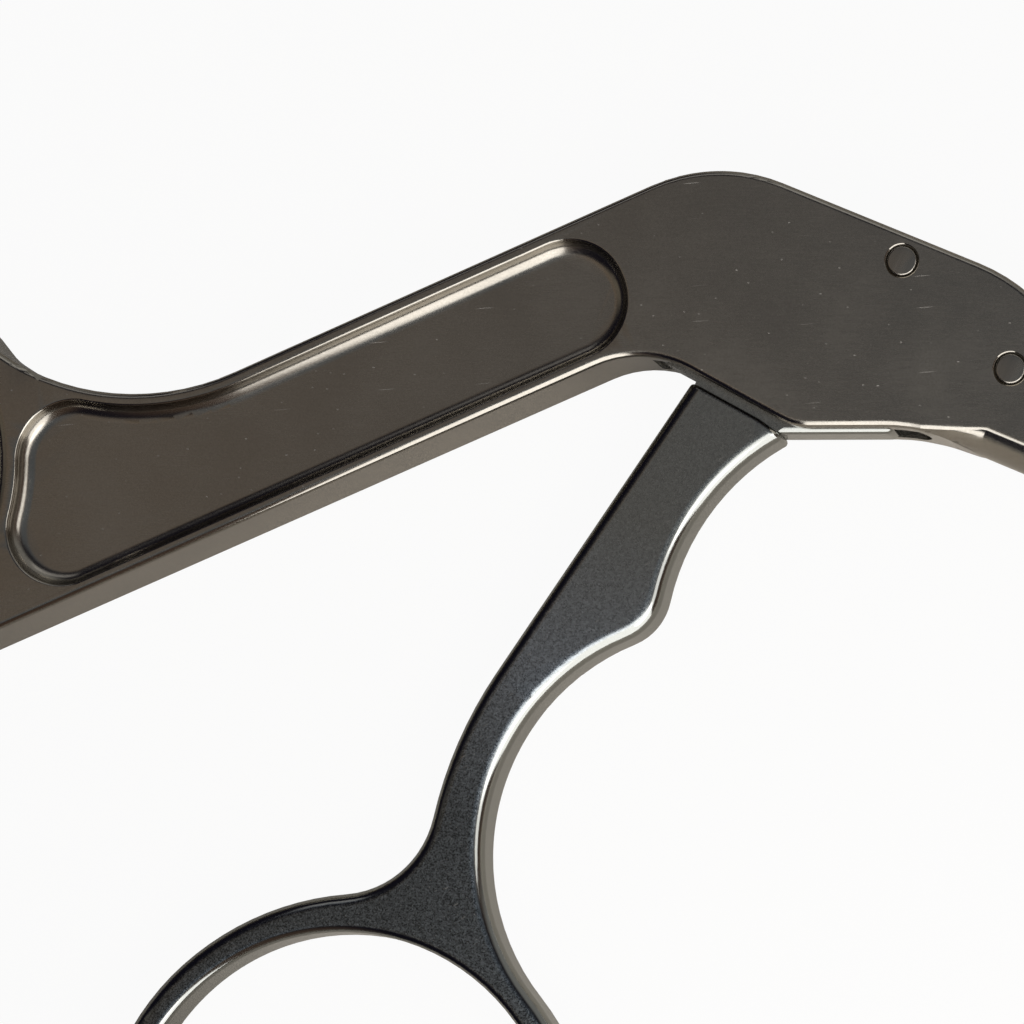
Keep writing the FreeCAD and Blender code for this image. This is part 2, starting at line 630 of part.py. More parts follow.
def drive_block():
    """Slotted block on the back end of the rod, which the drive pin pulls and pushes."""
    half = BLOCK_THICK / 2
    block = box(BLOCK_BACK_X, BLOCK_FRONT_X, -BLOCK_HEIGHT / 2, BLOCK_HEIGHT / 2, -half, half)
    upright = [e for e in block.Edges if abs(e.BoundBox.ZMax - e.BoundBox.ZMin - BLOCK_THICK) < 1e-5]
    block = block.makeFillet(BLOCK_CORNER_RADIUS, upright)
    play = DRIVE_PIN_DIAMETER / 2 + DRIVE_PIN_CLEARANCE
    drop = BLOCK_SLOT_DROP
    slot = box(DRIVE_PIN_X - play, DRIVE_PIN_X + play, -drop, drop, -FAR, FAR)
    slot = slot.fuse([disc(DRIVE_PIN_X, drop, play, -FAR, FAR), disc(DRIVE_PIN_X, -drop, play, -FAR, FAR)])
    block = block.cut(slot)
    block = block.cut(rod(ROD_DIAMETER / 2, BLOCK_FRONT_X - ROD_SEAT_DEPTH, BLOCK_FRONT_X + 1))
    return block.cut(block_pin())


def block_pin():
    """Cross pin that locks the rod in the drive block."""
    x = BLOCK_FRONT_X - ROD_SEAT_DEPTH / 2
    return disc(x, 0, BLOCK_PIN_DIAMETER / 2, -BLOCK_THICK / 2, BLOCK_THICK / 2)


# Stations along the shaft, with the lever closed
TUBE_FRONT_X = TUBE_BACK_X + TUBE_LENGTH
FORK_START_X = TUBE_FRONT_X + FORK_SLOT_START
BLADE_PIVOT_X = TUBE_FRONT_X + BLADE_PIVOT_AHEAD
ROD_FRONT_X = FORK_START_X - ROD_TRAVEL - ROD_FRONT_GAP
BLADE_ARM = ROD_TRAVEL / 2 / math.tan(BLADE_SWING / 2)
BLADE_PIVOT_Y = BLADE_ARM / 2
BLADE_PIN_X = BLADE_PIVOT_X - ROD_TRAVEL / 2
BLADE_PIN_Y = -BLADE_ARM / 2
TIP_BACK_X = FORK_START_X + ROD_TIP_GAP
HALF_FORK = FORK_SLOT / 2
HALF_BLADE = HALF_FORK - BLADE_SIDE_CLEARANCE


def tip_pin():
    """Cross pin that locks the front tip on the rod's spigot."""
    x = (TIP_BACK_X + ROD_FRONT_X + ROD_SPIGOT_LENGTH) / 2
    return disc(x, 0, TIP_PIN_DIAMETER / 2, -HALF_BLADE, HALF_BLADE)


def drive_rod():
    """Long rod inside the tube, with a thin spigot for the front tip."""
    shaft = rod(ROD_DIAMETER / 2, BLOCK_FRONT_X - ROD_SEAT_DEPTH, ROD_FRONT_X)
    spigot = rod(ROD_SPIGOT_DIAMETER / 2, ROD_FRONT_X, ROD_FRONT_X + ROD_SPIGOT_LENGTH)
    return shaft.fuse(spigot).removeSplitter().cut(block_pin()).cut(tip_pin())


def jaw_pin(side):
    """Short pin through the tube wall that holds the shank of the fork; side is +1 or -1 in Z."""
    x = TUBE_FRONT_X - JAW_SHANK / 2
    inner = ROD_DIAMETER / 2 + ROD_CLEARANCE * 2
    low = inner if side > 0 else -TUBE_DIAMETER
    high = TUBE_DIAMETER if side > 0 else -inner
    return disc(x, 0, JAW_PIN_DIAMETER / 2, low, high).common(rod(TUBE_DIAMETER / 2, x - 1, x + 1))


def outer_tube():
    """Shaft tube, thinner where it sits in collar and head, and notched for the lock pin."""
    seat = rod(TUBE_SEAT_DIAMETER / 2, TUBE_BACK_X, 0)
    tube = seat.fuse(rod(TUBE_DIAMETER / 2, 0, TUBE_FRONT_X)).removeSplitter()
    tube = tube.cut(rod(TUBE_BORE / 2, TUBE_BACK_X - 1, TUBE_FRONT_X + 1))
    tube = tube.cut(jaw_pin(1)).cut(jaw_pin(-1))
    return tube.cut(disc(LOCK_PIN_X, LOCK_PIN_Y, PIN_RADIUS, -FAR, FAR))


def rod_bush(start_x):
    """Plain bush that guides the rod in the tube."""
    ring = rod(TUBE_BORE / 2, start_x, start_x + BUSH_LENGTH)
    return ring.cut(rod(ROD_DIAMETER / 2 + ROD_CLEARANCE, start_x - 1, start_x + BUSH_LENGTH + 1))


def shaft_collar():
    """Collar on the tube against the nose, tapering to the front."""
    cone = Part.makeCone(COLLAR_BACK_DIAMETER / 2, COLLAR_FRONT_DIAMETER / 2, -NOSE_FRONT_X,
                         vec(NOSE_FRONT_X, 0, 0), X_AXIS)
    front_rim = [e for e in cone.Edges if abs(e.BoundBox.XMin) < 1e-5 and abs(e.BoundBox.XMax) < 1e-5]
    cone = cone.makeFillet(COLLAR_EDGE_RADIUS, front_rim)
    return cone.cut(rod(TUBE_SEAT_DIAMETER / 2, NOSE_FRONT_X - 1, 1))


def blade_outline(spine_y, edge_y, tip_drop, back_x):
    """Hooked blade: straight spine, hollow cutting edge and a tip that turns in."""
    tip_x = BLADE_PIVOT_X + BLADE_LENGTH
    sign = 1 if spine_y > edge_y else -1
    hook_top = vec(tip_x - HOOK_RADIUS, spine_y)
    hook_front = vec(tip_x, spine_y - sign * HOOK_RADIUS)
    hook_mid = vec(tip_x - HOOK_RADIUS, spine_y - sign * HOOK_RADIUS)
    tip = vec(tip_x - TIP_SETBACK, edge_y - sign * tip_drop)
    inner = vec(tip_x - TIP_INNER_SETBACK, edge_y + sign * EDGE_HOLLOW / 2)
    belly = vec((back_x + tip_x) / 2, edge_y + sign * EDGE_HOLLOW)
    start = vec(back_x, edge_y)
    return [line(vec(back_x, spine_y), hook_top), arc(hook_mid, hook_top, hook_front, -sign),
            line(hook_front, tip), line(tip, inner),
            Part.Arc(inner, belly, start).toShape(), line(start, vec(back_x, spine_y))]


def fixed_blade():
    """Fork of the jaw with the lower hooked blade on its far cheek."""
    radius = JAW_DIAMETER / 2
    fork_front = BLADE_PIVOT_X + FORK_AHEAD
    body = rod(TUBE_BORE / 2, TUBE_FRONT_X - JAW_SHANK, TUBE_FRONT_X)
    body = body.fuse(rod(radius, TUBE_FRONT_X, fork_front))
    outline = blade_outline(SPINE_INSET - radius, FIXED_EDGE_Y, HOOK_DEPTH, BLADE_PIVOT_X - 1)
    blade = prism(outline, -radius, -HALF_FORK)
    bound = rod(radius, TUBE_FRONT_X, BLADE_PIVOT_X + BLADE_LENGTH + 1)
    body = body.fuse(blade.common(bound))
    body = body.cut(box(FORK_START_X, fork_front + FAR, -FAR, FAR, -HALF_FORK, HALF_FORK))
    body = body.cut(rod(ROD_DIAMETER / 2 + ROD_CLEARANCE, TUBE_FRONT_X - JAW_SHANK - 1, FORK_START_X + 1))
    body = body.cut(jaw_pin(1)).cut(jaw_pin(-1))
    return body.cut(blade_pivot_pin()).removeSplitter()


def blade_pivot_pin():
    """Cross pin that the moving blade swings on."""
    reach = math.sqrt((JAW_DIAMETER / 2) ** 2 - (BLADE_PIVOT_Y + BLADE_PIVOT_DIAMETER / 2) ** 2)
    return disc(BLADE_PIVOT_X, BLADE_PIVOT_Y, BLADE_PIVOT_DIAMETER / 2, -reach, reach)


def moving_blade():
    """Upper hooked blade, with a thin tang behind and below its pivot."""
    radius = JAW_DIAMETER / 2
    tang_low = BLADE_SIDE_CLEARANCE
    pivot = vec(BLADE_PIVOT_X, BLADE_PIVOT_Y)
    slot_dir = (vec(BLADE_PIN_X, BLADE_PIN_Y) - pivot).normalize()
    end = pivot + slot_dir * BLADE_ARM
    side = left_of(slot_dir) * TANG_HALF_WIDTH
    tang = polygon_prism([pivot + side, end + side, end - side, pivot - side], tang_low, HALF_BLADE)
    tang = tang.fuse([disc(pivot.x, pivot.y, BLADE_BOSS_RADIUS, tang_low, HALF_BLADE),
                      disc(end.x, end.y, TANG_HALF_WIDTH, tang_low, HALF_BLADE)])
    blade_start = BLADE_PIVOT_X + MOVING_BLADE_START
    neck = box(pivot.x, blade_start + 1, FIXED_EDGE_Y, radius - SPINE_INSET, tang_low, HALF_BLADE)
    outline = blade_outline(radius - SPINE_INSET, MOVING_EDGE_Y, HOOK_DEPTH, blade_start)
    blade = prism(outline, -HALF_BLADE, HALF_BLADE).fuse([tang, neck])
    play = BLADE_PIN_DIAMETER / 2 + DRIVE_PIN_CLEARANCE
    near = pivot + slot_dir * (BLADE_ARM - BLADE_SLOT_PLAY)
    far = pivot + slot_dir * (BLADE_ARM / math.cos(BLADE_SWING / 2) + BLADE_SLOT_PLAY)
    across = left_of(slot_dir) * play
    slot = polygon_prism([near + across, far + across, far - across, near - across], -FAR, FAR)
    slot = slot.fuse([disc(near.x, near.y, play, -FAR, FAR), disc(far.x, far.y, play, -FAR, FAR)])
    blade = blade.cut(slot)
    hole = disc(pivot.x, pivot.y, BLADE_PIVOT_DIAMETER / 2 + RUNNING_CLEARANCE, -FAR, FAR)
    return blade.cut(hole).removeSplitter()


def rod_tip():
    """Flat tip on the rod that slides in the fork and carries the blade's drive pin."""
    step_x = BLADE_PIN_X - ROD_TIP_STEP
    half = ROD_TIP_HALF_HEIGHT
    back = box(TIP_BACK_X, step_x, -half, half, -HALF_BLADE, HALF_BLADE)
    reach = ROD_TIP_NOSE_RADIUS
    front = box(step_x, BLADE_PIN_X, BLADE_PIN_Y - reach, BLADE_PIN_Y + reach,
                -HALF_BLADE, -BLADE_SIDE_CLEARANCE)
    nose = disc(BLADE_PIN_X, BLADE_PIN_Y, reach, -HALF_BLADE, -BLADE_SIDE_CLEARANCE)
    tip = back.fuse([front, nose]).removeSplitter()
    tip = tip.cut(rod(ROD_SPIGOT_DIAMETER / 2, ROD_FRONT_X, ROD_FRONT_X + ROD_SPIGOT_LENGTH))
    tip = tip.cut(tip_pin())
    return tip.cut(disc(BLADE_PIN_X, BLADE_PIN_Y, BLADE_PIN_DIAMETER / 2, -FAR, FAR))


os.makedirs("parts", exist_ok=True)
save("fixed_handle", fixed_handle())
save("finger_lever", finger_lever())
save("lever_pivot_pin", head_pin(PIVOT_X, PIVOT_Y))
save("shaft_lock_pin", head_pin(LOCK_PIN_X, LOCK_PIN_Y))
save("shaft_collar", shaft_collar())
save("outer_tube", outer_tube())
save("rear_rod_bush", rod_bush(LOCK_PIN_X + PIN_RADIUS + BUSH_SETBACK))
save("front_rod_bush", rod_bush(TUBE_FRONT_X - JAW_SHANK - BUSH_LENGTH))
save("drive_rod", drive_rod())
save("drive_block", drive_block())
save("drive_block_pin", block_pin())
save("lever_drive_pin", disc(DRIVE_PIN_X, 0, DRIVE_PIN_DIAMETER / 2, -HALF_TONGUE, HALF_TONGUE))
save("rod_tip", rod_tip())
save("rod_tip_pin", tip_pin())
save("near_jaw_pin", jaw_pin(1))
save("far_jaw_pin", jaw_pin(-1))
save("blade_drive_pin", disc(BLADE_PIN_X, BLADE_PIN_Y, BLADE_PIN_DIAMETER / 2, -HALF_BLADE, HALF_BLADE))
save("fixed_blade", fixed_blade())
save("moving_blade", moving_blade())
save("blade_pivot_pin", blade_pivot_pin())
print("rod travel %.4f mm, blade arm %.4f mm" % (ROD_TRAVEL, BLADE_ARM))
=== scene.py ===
import json
import math

import bmesh
import bpy
from bpy.props import FloatProperty, FloatVectorProperty, PointerProperty
from mathutils import Matrix, Vector


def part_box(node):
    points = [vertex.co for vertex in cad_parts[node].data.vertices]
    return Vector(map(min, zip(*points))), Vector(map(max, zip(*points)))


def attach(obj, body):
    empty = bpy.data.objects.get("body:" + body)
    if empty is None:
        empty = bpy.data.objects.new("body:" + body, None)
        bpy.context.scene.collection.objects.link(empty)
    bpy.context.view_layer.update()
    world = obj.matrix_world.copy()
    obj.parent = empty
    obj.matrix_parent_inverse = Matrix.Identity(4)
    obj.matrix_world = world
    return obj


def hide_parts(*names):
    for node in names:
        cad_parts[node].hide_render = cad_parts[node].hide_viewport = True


bl_info = {
    "name": "Hook Scissors",
    "version": (1, 0, 0),
    "blender": (4, 5, 0),
    "location": "3D View > Sidebar > Scissors",
    "description": "Dresses the hook scissors: satin handle, tumbled lever, polished shaft and blades",
    "category": "Object",
}

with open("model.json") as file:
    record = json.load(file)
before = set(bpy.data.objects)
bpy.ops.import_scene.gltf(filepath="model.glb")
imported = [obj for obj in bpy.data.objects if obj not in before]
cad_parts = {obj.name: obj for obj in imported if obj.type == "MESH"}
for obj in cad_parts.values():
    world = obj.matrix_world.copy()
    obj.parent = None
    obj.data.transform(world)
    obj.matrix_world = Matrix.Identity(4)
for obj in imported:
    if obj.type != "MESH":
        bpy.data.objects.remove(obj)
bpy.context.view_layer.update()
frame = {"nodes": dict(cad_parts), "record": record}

MM = 0.001
FLOOR_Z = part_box("fixed_handle")[0][2]

# The photograph's horizontal runs along this direction of the handle plane, in degrees from +X
PHOTO_TURN = 22.75
RIGHT = Vector((math.cos(math.radians(PHOTO_TURN)), math.sin(math.radians(PHOTO_TURN)), 0))
DOWN = Vector((RIGHT.y, -RIGHT.x, 0))

# Roughness of rounded edges and walls, which are polished finer than the flat sides
EDGE_ROUGHNESS = 0.13
COVE_ROUGHNESS = 0.21

# Heights of the surface's normal at which the flat sides begin, and at which upright walls end
FLAT_SIDES = (0.9, 0.995)
OFF_WALLS = (0.05, 0.2)

# Sparse scratches: cells of this many lengths and widths, stretched through the thickness, and the
# share of a cell over which a dash fades out
SCRATCH_CELL = (5, 9)
SCRATCH_DEPTH = 400
SCRATCH_FADE = (0.05, 0.1)

# Range that a noise texture mostly keeps to
NOISE_LOW = 0.3
NOISE_HIGH = 0.7

# Brushed handle, in millimetres where it is a size
CLOUD_SIZE = 6.25
GRAIN_SIZE = 0.125
LINE_TONE = 0.04
CLOUD_TONE = 0.08
GRAIN_TONE = 0.09
BRUSHED_ROUGHNESS = (0.23, 0.29)
CLOUD_ROUGHNESS = (-0.03, 0.05)
SCRATCH_ROUGHNESS = 0.3
# Light colour of the scratches and its share: a painted glint, since a scratch is the same steel
SCRATCH_GLINT_COLOUR = "#E4E0D8"
SCRATCH_GLINT_SHARE = 0.6
# Heights over the middle plane between which the recess coves end and the outer edges begin
COVE_HEIGHTS = (2.6, 2.8)

# Tumbled lever, in millimetres where it is a size
FINE_DENT_SIZE = 0.12
COARSE_SHARE = 0.4
DENT_RANGE = (0.4, 0.6)
DENT_TONE = (0.02, 0.12)
DARKER_DENT_TONE = 0.24
TUMBLED_ROUGHNESS = (0.22, 0.36)
TUMBLED_RANGE = (0.32, 0.68)
# Light colour of the lever's scratches and dent rims and its share: a painted glint
DENT_RIM_GLINT_COLOUR = "#D8D6D0"
DENT_RIM_GLINT_SHARE = 0.45
# Heights in the handle plane between which the lever turns cooler, and further down darker
COOL_HEIGHTS = (-28, -17)
DARKER_HEIGHTS = (-40, -28)


def linear(hex_colour):
    """Linear RGBA of an sRGB hex colour."""
    parts = [int(hex_colour[i:i + 2], 16) / 255 for i in (1, 3, 5)]
    return tuple(p / 12.92 if p <= 0.04045 else ((p + 0.055) / 1.055) ** 2.4 for p in parts) + (1.0,)


class ScissorsFinishes(bpy.types.PropertyGroup):
    """Colours and grain sizes of the steels."""
    satin_colour: FloatVectorProperty(
        name="Satin steel", description="Warm grey of the brushed handle",
        subtype="COLOR", size=4, min=0, max=1, default=linear("#9A958C"))
    lever_colour: FloatVectorProperty(
        name="Tumbled steel", description="Grey of the tumbled lever near its pivot",
        subtype="COLOR", size=4, min=0, max=1, default=linear("#92938F"))
    lever_middle_colour: FloatVectorProperty(
        name="Tumbled steel, middle", description="Blue grey of the lever half way to its ring",
        subtype="COLOR", size=4, min=0, max=1, default=linear("#92989E"))
    lever_dark_colour: FloatVectorProperty(
        name="Darker tumbled steel", description="Blue grey of the lever towards its ring",
        subtype="COLOR", size=4, min=0, max=1, default=linear("#676C6F"))
    bright_colour: FloatVectorProperty(
        name="Bright steel", description="Fine polished steel of the shaft and the rod",
        subtype="COLOR", size=4, min=0, max=1, default=linear("#B4B3B0"))
    brass_colour: FloatVectorProperty(
        name="Brass", description="Turned brass of the rod bushes",
        subtype="COLOR", size=4, min=0, max=1, default=linear("#C9A562"))
    brush_spacing: FloatProperty(
        name="Brush line spacing", description="Distance between two brush lines",
        subtype="DISTANCE", unit="LENGTH", min=0.00002, max=0.001, default=0.0001)
    brush_length: FloatProperty(
        name="Brush line length", description="How far one brush line runs",
        subtype="DISTANCE", unit="LENGTH", min=0.0005, max=0.05, default=0.0013)
    speckle_size: FloatProperty(
        name="Speckle size", description="Size of the dents that the tumbling stones left",
        subtype="DISTANCE", unit="LENGTH", min=0.00005, max=0.002, default=0.0003)
    edge_angle: FloatProperty(
        name="Sharp edge angle", description="Edges that bend more than this stay sharp",
        subtype="ANGLE", unit="ROTATION", min=0, max=math.pi, default=math.radians(28))


class ScissorsStage(bpy.types.PropertyGroup):
    """Camera, floor and lamps."""
    camera_place: FloatVectorProperty(
        name="Camera place", description="Where the camera stands",
        subtype="TRANSLATION", unit="LENGTH", size=3, default=(0.054939, -0.032320, 0.344254))
    camera_aim: FloatVectorProperty(
        name="Camera aim", description="Point of the near face in the middle of the picture",
        subtype="TRANSLATION", unit="LENGTH", size=3, default=(-0.039017, -0.019940, 0.003175))
    lens: FloatProperty(
        name="Lens", description="Focal length on a 36 mm wide sensor, in millimetres",
        unit="CAMERA", min=10, max=1000, default=184.2)
    floor_size: FloatProperty(
        name="Floor size", description="Side of the pale table top",
        subtype="DISTANCE", unit="LENGTH", min=0.5, max=20, default=6.0)
    floor_colour: FloatVectorProperty(
        name="Floor", description="Warm grey of the matt table top, which the walls of the steel mirror",
        subtype="COLOR", size=4, min=0, max=1, default=linear("#B4ADA2"))
    ceiling_colour: FloatVectorProperty(
        name="Ceiling", description="Dim grey room above, which the head mirrors",
        subtype="COLOR", size=4, min=0, max=1, default=linear("#737980"))
    far_ceiling_colour: FloatVectorProperty(
        name="Far ceiling", description="Warmer part of the ceiling, which the handle mirrors",
        subtype="COLOR", size=4, min=0, max=1, default=linear("#958677"))
    left_colour: FloatVectorProperty(
        name="Left of the room", description="Dark blue side, which the left edges mirror",
        subtype="COLOR", size=4, min=0, max=1, default=linear("#1C1A26"))
    left_high_colour: FloatVectorProperty(
        name="High left of the room", description="Brown grey that the left edge of the lever mirrors",
        subtype="COLOR", size=4, min=0, max=1, default=linear("#8A8378"))
    right_colour: FloatVectorProperty(
        name="Right of the room", description="Brown dim side, which the right edges mirror",
        subtype="COLOR", size=4, min=0, max=1, default=linear("#5C4C42"))
    back_colour: FloatVectorProperty(
        name="Back of the room", description="Grey beyond the head, which the upper edges mirror",
        subtype="COLOR", size=4, min=0, max=1, default=linear("#A4A4A2"))
    low_left_colour: FloatVectorProperty(
        name="Low left of the room", description="Grey that the undersides of the left edges mirror",
        subtype="COLOR", size=4, min=0, max=1, default=linear("#34343C"))
    low_right_colour: FloatVectorProperty(
        name="Low right of the room", description="Warm grey that the undersides of the right edges mirror",
        subtype="COLOR", size=4, min=0, max=1, default=linear("#A89C90"))
    side_power: FloatProperty(
        name="Side lamp", description="Power of the large soft lamp on the right",
        unit="POWER", min=0, max=500, default=2.2)
    front_power: FloatProperty(
        name="Front panel", description="Power of the small leaning panel in front of the head",
        unit="POWER", min=0, max=500, default=0.13)
    back_power: FloatProperty(
        name="Back lamp", description="Power of the soft lamp behind",
        unit="POWER", min=0, max=500, default=0.3)


def add_node(tree, kind, settings=None, links=None, **defaults):
    """Adds a node, sets its properties and input values, and links its inputs."""
    node = tree.nodes.new(kind)
    for name, value in (settings or {}).items():
        setattr(node, name, value)
    for name, value in defaults.items():
        node.inputs[name.replace("_", " ")].default_value = value
    for name, source in (links or {}).items():
        tree.links.new(source, node.inputs[name])
    return node


def new_material(name):
    """Empty node material with its output."""
    material = bpy.data.materials.new(name)
    material.use_nodes = True
    material.node_tree.nodes.clear()
    return material, material.node_tree, add_node(material.node_tree, "ShaderNodeOutputMaterial")


def in_millimetres(tree, turn=0.0, stretch=(1, 1, 1)):
    """Object coordinates in millimetres, turned in the handle plane and divided by stretch."""
    place = add_node(tree, "ShaderNodeTexCoord").outputs["Object"]
    turned = add_node(tree, "ShaderNodeMapping", {"vector_type": "TEXTURE"}, {"Vector": place},
                      Rotation=(0, 0, math.radians(turn)))
    scale = [1000 / s for s in stretch]
    return add_node(tree, "ShaderNodeMapping", None, {"Vector": turned.outputs[0]}, Scale=scale).outputs[0]


def grey_range(tree, value, low, high, from_low=0.0, from_high=1.0):
    """Maps a value to a range, clamped."""
    node = add_node(tree, "ShaderNodeMapRange", None, {"Value": value})
    node.inputs["From Min"].default_value = from_low
    node.inputs["From Max"].default_value = from_high
    node.inputs["To Min"].default_value = low
    node.inputs["To Max"].default_value = high
    return node.outputs[0]


def vary(tree, noise, low, high):
    """Maps a noise texture to a range."""
    return grey_range(tree, noise.outputs["Fac"], low, high, NOISE_LOW, NOISE_HIGH)


def calculate(tree, operation, first, second):
    """One operation on two values, each a socket or a number."""
    node = add_node(tree, "ShaderNodeMath", {"operation": operation})
    for i, term in enumerate((first, second)):
        if isinstance(term, (int, float)):
            node.inputs[i].default_value = term
        else:
            tree.links.new(term, node.inputs[i])
    return node.outputs[0]


def blend_colour(tree, factor, first, second):
    """Mix of two colours, each a socket or a value."""
    node = add_node(tree, "ShaderNodeMix", {"data_type": "RGBA"})
    tree.links.new(factor, node.inputs[0])
    for i, colour in ((6, first), (7, second)):
        if hasattr(colour, "is_output"):
            tree.links.new(colour, node.inputs[i])
        else:
            node.inputs[i].default_value = tuple(colour)
    return node.outputs[2]


def lying(tree, edge):
    """0 to 1 as the surface turns from a wall to the flat side, between two heights of its normal."""
    shape = add_node(tree, "ShaderNodeNewGeometry")
    up = add_node(tree, "ShaderNodeSeparateXYZ", None, {"Vector": shape.outputs["Normal"]})
    return grey_range(tree, calculate(tree, "ABSOLUTE", up.outputs["Z"], 0.0), 0, 1, *edge)


def scratches(tree, turn, length, width, share, seed):
    """Sparse thin dashes along one direction, 1 on a dash and 0 beside it, sizes in millimetres."""
    cells = in_millimetres(tree, turn, (length * SCRATCH_CELL[0], width * SCRATCH_CELL[1], SCRATCH_DEPTH))
    shifted = add_node(tree, "ShaderNodeVectorMath", {"operation": "ADD"}, {0: cells})
    shifted.inputs[1].default_value = (seed * 3.1, seed * 7.7, seed)
    dots = add_node(tree, "ShaderNodeTexVoronoi", {"voronoi_dimensions": "2D"},
                    {"Vector": shifted.outputs[0]}, Scale=1.0)
    pick = add_node(tree, "ShaderNodeSeparateColor", None, {"Color": dots.outputs["Color"]})
    near = grey_range(tree, dots.outputs["Distance"], 1, 0, *SCRATCH_FADE)
    chosen = calculate(tree, "LESS_THAN", pick.outputs[0], share)
    strength = calculate(tree, "MULTIPLY", chosen, pick.outputs[1])
    return calculate(tree, "MULTIPLY", near, strength)


def satin_handle_steel(finishes):
    """Martensitic stainless steel plate, milled, then brushed along the photograph's horizontal.

    The eye sees a warm dark grey with fine level lines, soft cloudy reflections and a few light
    scratches, whose light colour is a painted glint; the rounded edges are smoother and catch bright lines.
    """
    material, tree, out = new_material("Satin_brushed_stainless_steel")
    # Real brush lines are about 0.03 mm apart, too fine for the picture, so they are drawn coarser
    spacing = finishes.brush_spacing / MM
    length = finishes.brush_length / MM
    lines = add_node(tree, "ShaderNodeTexNoise", None,
                     {"Vector": in_millimetres(tree, PHOTO_TURN, (length, spacing, length))},
                     Scale=1.0, Detail=3.0, Roughness=0.6)
    # Clouds of slightly different polish
    clouds = add_node(tree, "ShaderNodeTexNoise", None, {"Vector": in_millimetres(tree)},
                      Scale=1 / CLOUD_SIZE, Detail=3.0, Roughness=0.5)
    dashes = calculate(tree, "MAXIMUM",
                       scratches(tree, PHOTO_TURN + 4, length=1.5, width=0.04, share=0.1, seed=1),
                       scratches(tree, PHOTO_TURN - 9, length=0.2, width=0.07, share=0.1, seed=5))
    flat = lying(tree, FLAT_SIDES)
    dashes = calculate(tree, "MULTIPLY", dashes, flat)
    # Fine blasted grain between the lines
    grain = add_node(tree, "ShaderNodeTexNoise", None, {"Vector": in_millimetres(tree)},
                     Scale=1 / GRAIN_SIZE, Detail=2.0, Roughness=0.6)
    tone = vary(tree, lines, 1 - LINE_TONE, 1 + LINE_TONE)
    tone = calculate(tree, "MULTIPLY", tone, vary(tree, clouds, 1 - CLOUD_TONE, 1 + CLOUD_TONE))
    tone = calculate(tree, "MULTIPLY", tone, vary(tree, grain, 1 - GRAIN_TONE, 1 + GRAIN_TONE))
    steel = add_node(tree, "ShaderNodeMix", {"data_type": "RGBA", "blend_type": "MULTIPLY"})
    steel.inputs[0].default_value = 1.0
    steel.inputs[6].default_value = tuple(finishes.satin_colour)
    tree.links.new(tone, steel.inputs[7])
    # Scratches are tinted light here as a painted glint; their added roughness and relief are real
    colour = blend_colour(tree, calculate(tree, "MULTIPLY", dashes, SCRATCH_GLINT_SHARE), steel.outputs[2],
                          linear(SCRATCH_GLINT_COLOUR))
    brushed = vary(tree, lines, *BRUSHED_ROUGHNESS)
    brushed = calculate(tree, "ADD", brushed, vary(tree, clouds, *CLOUD_ROUGHNESS))
    brushed = calculate(tree, "ADD", brushed, calculate(tree, "MULTIPLY", dashes, SCRATCH_ROUGHNESS))
    # The rounded edges and walls are polished finer than the flat sides, but not inside the recess
    shape = add_node(tree, "ShaderNodeSeparateXYZ", None, {"Vector": in_millimetres(tree)})
    depth = calculate(tree, "ABSOLUTE", shape.outputs["Z"], 0.0)
    cove = calculate(tree, "MULTIPLY", grey_range(tree, depth, 1, 0, *COVE_HEIGHTS), lying(tree, OFF_WALLS))
    edge = grey_range(tree, cove, EDGE_ROUGHNESS, COVE_ROUGHNESS)
    rough = calculate(tree, "ADD", calculate(tree, "MULTIPLY", brushed, flat),
                      calculate(tree, "MULTIPLY", edge, grey_range(tree, flat, 1, 0)))
    relief = calculate(tree, "ADD", lines.outputs["Fac"], calculate(tree, "MULTIPLY", dashes, 0.5))
    bump = add_node(tree, "ShaderNodeBump", None, {"Height": relief}, Strength=0.18, Distance=0.004 * MM)
    shader = add_node(tree, "ShaderNodeBsdfPrincipled", None,
                      {"Base Color": colour, "Roughness": rough, "Normal": bump.outputs[0]}, Metallic=1.0)
    tree.links.new(shader.outputs[0], out.inputs["Surface"])
    return material


